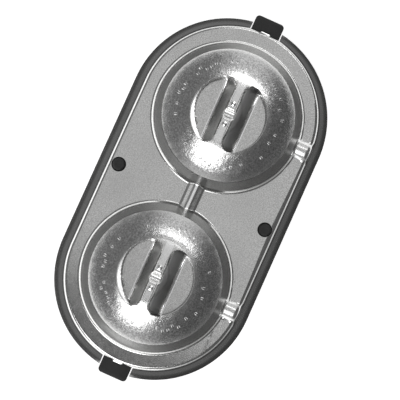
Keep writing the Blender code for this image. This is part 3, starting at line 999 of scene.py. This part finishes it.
def floor_material():
    """Plain pale paper, lit a little from within so that it stays even."""
    material = bpy.data.materials.new("studio_floor")
    nodes = Nodes(material)
    nodes.put(nodes.shader, "Base Color", grey(0.9))
    nodes.put(nodes.shader, "Roughness", 0.9)
    nodes.put(nodes.shader, "Emission Color", grey(1.0))
    nodes.put(nodes.shader, "Emission Strength", 0.7)
    return material


def build_floor():
    half = FLOOR_HALF_SIZE
    corners = [(-half, -half, 0), (half, -half, 0), (half, half, 0), (-half, half, 0)]
    floor = mesh_object("studio_floor", corners, [(0, 1, 2, 3)])
    floor.data.materials.append(floor_material())
    floor.visible_glossy = False


def horizon_band(nodes, way, up, rear, key_side):
    """The bright band round the horizon, which reaches lower at both ends and fades at the front left."""
    ends_depth = nodes.span(nodes.absolute(rear), 0.12, 0.32, 0.38, 0.0)
    key_depth = nodes.span(key_side, 0.2, 0.8, 0.10, 0.20)
    bottom = nodes.largest(key_depth, ends_depth)
    above_bottom = nodes.rising(nodes.maths("ADD", up, bottom), -0.12, 0.0)
    top = nodes.span(key_side, 0.0, 0.9, 0.35, 0.41)
    below_top = nodes.falling(nodes.maths("SUBTRACT", up, top), -0.1, 0.0)
    key_strength = nodes.span(key_side, 0.0, 0.9, 1.5, 2.0)
    dimmed_below = nodes.span(up, -0.3, 0.0, 0.5, 1.0)
    dimmed_in_front = nodes.span(nodes.facing(way, FRONT_DIRECTION), 0.75, 0.98, 1.0, 0.3)
    shape = nodes.product(above_bottom, below_top)
    return nodes.product(shape, nodes.product(key_strength, dimmed_below), dimmed_in_front)


def end_glow(nodes, split):
    """A soft glow over the band at both ends of the lid, stronger at the right."""
    narrow = nodes.falling(nodes.absolute(split["Y"]), 0.12, 0.45)
    above_band = nodes.rising(split["Z"], 0.28, 0.38)
    below_softboxes = nodes.falling(split["Z"], 0.78, 0.86)
    strength = nodes.span(split["X"], -0.7, 0.7, 0.42, 0.7)
    return nodes.product(above_band, below_softboxes, narrow, strength)


def room(nodes, up, rear):
    """A dim ceiling, lighter at the rear and darkest overhead, over a dim ground."""
    low_ceiling = nodes.span(rear, -0.7, 0.7, 0.13, 0.25)
    ceiling = nodes.product(low_ceiling, nodes.span(up, 0.93, 0.985, 1.0, 0.5))
    ground_level = nodes.span(up, -0.9, -0.4, 0.20, 0.08)
    ground = nodes.product(ground_level, nodes.span(rear, -0.7, 0.3, 0.7, 1.0))
    above_horizon = nodes.rising(up, -0.1, 0.1)
    difference = nodes.maths("SUBTRACT", ceiling, ground)
    return nodes.maths("ADD", ground, nodes.product(difference, above_horizon))


def build_world():
    """A dim studio with a bright band round its horizon, strongest towards the rear left."""
    world = bpy.data.worlds.new("studio")
    bpy.context.scene.world = world
    nodes = Nodes(world)
    way = nodes.add("ShaderNodeTexCoord").outputs["Generated"]
    split = nodes.add("ShaderNodeSeparateXYZ", {0: way}).outputs
    up, rear = split["Z"], split["Y"]
    band = horizon_band(nodes, way, up, rear, nodes.facing(way, KEY_DIRECTION))
    strength = nodes.maths("ADD", room(nodes, up, rear), band)
    nodes.put(nodes.shader, "Color", grey(1.0))
    nodes.put(nodes.shader, "Strength", nodes.maths("ADD", strength, end_glow(nodes, split)))


def softbox(name, azimuth, off_zenith, distance, size, radiance):
    """A rectangular light that faces the lid; azimuth counts from +X towards +Y, in degrees.

    Its size is given across the line from the zenith and along it, in metres.
    """
    turn, tilt = math.radians(azimuth), math.radians(off_zenith)
    away = Vector((math.cos(turn) * math.sin(tilt), math.sin(turn) * math.sin(tilt), math.cos(tilt)))
    data = bpy.data.lights.new(name, "AREA")
    data.shape = "RECTANGLE"
    data.size, data.size_y = size
    data.energy = radiance * math.pi * size[0] * size[1]
    light = bpy.data.objects.new(name, data)
    bpy.context.scene.collection.objects.link(light)
    light.location = LIGHT_TARGET + away * distance
    light.rotation_mode = "QUATERNION"
    light.rotation_quaternion = away.to_track_quat("Z", "Y")


def build_lights():
    softbox("overhead_softbox", azimuth=-12, off_zenith=9.5, distance=1.2, size=(0.51, 0.64), radiance=0.58)
    softbox("left_softbox", azimuth=174, off_zenith=28, distance=3.0, size=(0.95, 1.60), radiance=4.5)
    softbox("right_strip", azimuth=-5, off_zenith=31, distance=3.0, size=(1.38, 0.40), radiance=4.0)


def build_camera():
    """Looks down on the lid from a little to its left, with the lid's long side up the frame."""
    data = bpy.data.cameras.new("camera")
    data.sensor_width = CAMERA_SENSOR_WIDTH
    data.lens = CAMERA_FOCAL_LENGTH
    camera = bpy.data.objects.new("camera", data)
    bpy.context.scene.collection.objects.link(camera)
    roughly_up = Vector((math.cos(CAMERA_ROLL), math.sin(CAMERA_ROLL), 0.0))
    back = (CAMERA_PLACE - CAMERA_TARGET).normalized()
    right = roughly_up.cross(back).normalized()
    up = back.cross(right)
    camera.location = CAMERA_PLACE
    camera.rotation_mode = "QUATERNION"
    camera.rotation_quaternion = Matrix((right, up, back)).transposed().to_quaternion()
    bpy.context.scene.camera = camera


steel = steel_material()
rubber = rubber_material()
build_cover(steel)
build_sheet(rubber)
for side_name, side in SIDES.items():
    build_bellows(side_name, side, rubber)
    build_tab(side_name, side, rubber)
build_floor()
build_world()
build_lights()
build_camera()
bpy.context.scene.view_settings.view_transform = "Standard"
